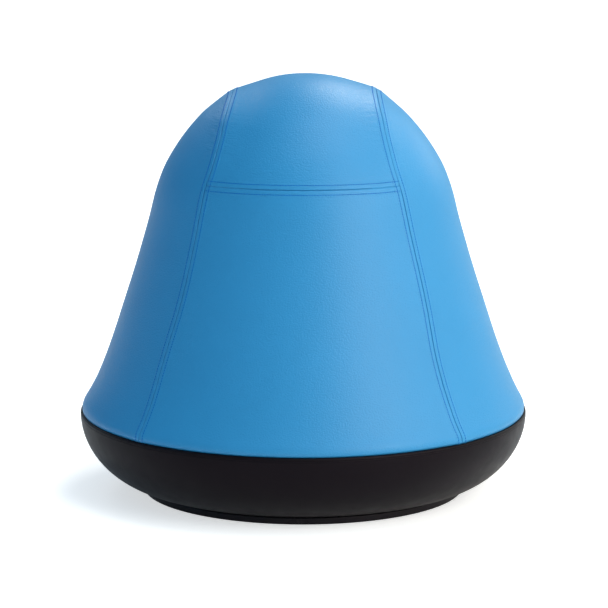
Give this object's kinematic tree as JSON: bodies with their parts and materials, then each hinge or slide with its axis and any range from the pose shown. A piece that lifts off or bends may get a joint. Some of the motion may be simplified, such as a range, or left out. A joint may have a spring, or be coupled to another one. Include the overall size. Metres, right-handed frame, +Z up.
{
  "type": "balance ball seat",
  "caption": "Bell-shaped active-sitting seat: a sewn cover over an inflated ball on a round swivelling moulded base.",
  "frame": {"origin": "on the floor, at the centre of the foot", "axes": "+Z up along the axis of the swivel and of the bounce; -Y is the front, +X is to the right seen from the front"},
  "size_m": [0.5864, 0.5864, 0.55],
  "materials": {
    "grip_rubber": "matte",
    "foot_plastic": "satin",
    "race_steel": "zinc plated",
    "screw_steel": "zinc plated",
    "bearing_steel": "polished",
    "cage_plastic": "natural",
    "bowl_plastic": "fine spark texture",
    "deck_plastic": "matte",
    "hem_webbing": "woven",
    "strap_webbing": "woven",
    "ball_vinyl": "satin",
    "plug_plastic": "satin",
    "cover_vinyl": "fine-grained vinyl, satin"
  },
  "bodies": {
    "foot": {"floor_grip_ring": "grip_rubber", "foot_plate": "foot_plastic", "race_lower": "race_steel", "race_lower_screw_1": "screw_steel", "race_lower_screw_2": "screw_steel", "race_lower_screw_3": "screw_steel", "race_lower_screw_4": "screw_steel"},
    "cage": {"cage_ring": "cage_plastic", "bearing_ball_01": "bearing_steel", "bearing_ball_02": "bearing_steel", "bearing_ball_03": "bearing_steel", "bearing_ball_04": "bearing_steel", "bearing_ball_05": "bearing_steel", "bearing_ball_06": "bearing_steel", "bearing_ball_07": "bearing_steel", "bearing_ball_08": "bearing_steel", "bearing_ball_09": "bearing_steel", "bearing_ball_10": "bearing_steel", "bearing_ball_11": "bearing_steel", "bearing_ball_12": "bearing_steel"},
    "base": {"base_bowl": "bowl_plastic", "race_upper": "race_steel", "race_upper_screw_1": "screw_steel", "race_upper_screw_2": "screw_steel", "race_upper_screw_3": "screw_steel", "race_upper_screw_4": "screw_steel", "deck": "deck_plastic", "deck_screw_1": "screw_steel", "deck_screw_2": "screw_steel", "deck_screw_3": "screw_steel", "deck_screw_4": "screw_steel", "deck_screw_5": "screw_steel", "deck_screw_6": "screw_steel", "hem_band": "hem_webbing", "hem_strap": "strap_webbing"},
    "dome": {"ball": "ball_vinyl", "valve_plug": "plug_plastic", "cover_front": "cover_vinyl", "cover_back": "cover_vinyl", "cover_left": "cover_vinyl", "cover_right": "cover_vinyl", "cover_top": "cover_vinyl"}
  },
  "joints": [
    {"name": "swivel", "type": "hinge", "parent": "foot", "child": "base", "pos_m": [0, 0, 0.0115], "axis": [0, 0, 1], "continuous": true},
    {"name": "cage_turn", "type": "hinge", "parent": "foot", "child": "cage", "pos_m": [0, 0, 0.0115], "axis": [0, 0, 1], "continuous": true},
    {"name": "bounce", "type": "slide", "parent": "base", "child": "dome", "axis": [0, 0, 1], "range_m": [-0.06, 0], "stiffness_N_per_m": 12000, "springref_m": 0.004, "deforming": ["ball", "cover_front", "cover_back", "cover_left", "cover_right"]}
  ],
  "couplings": [
    {"joint": "cage_turn", "follows": "swivel", "ratio": 0.5}
  ]
}
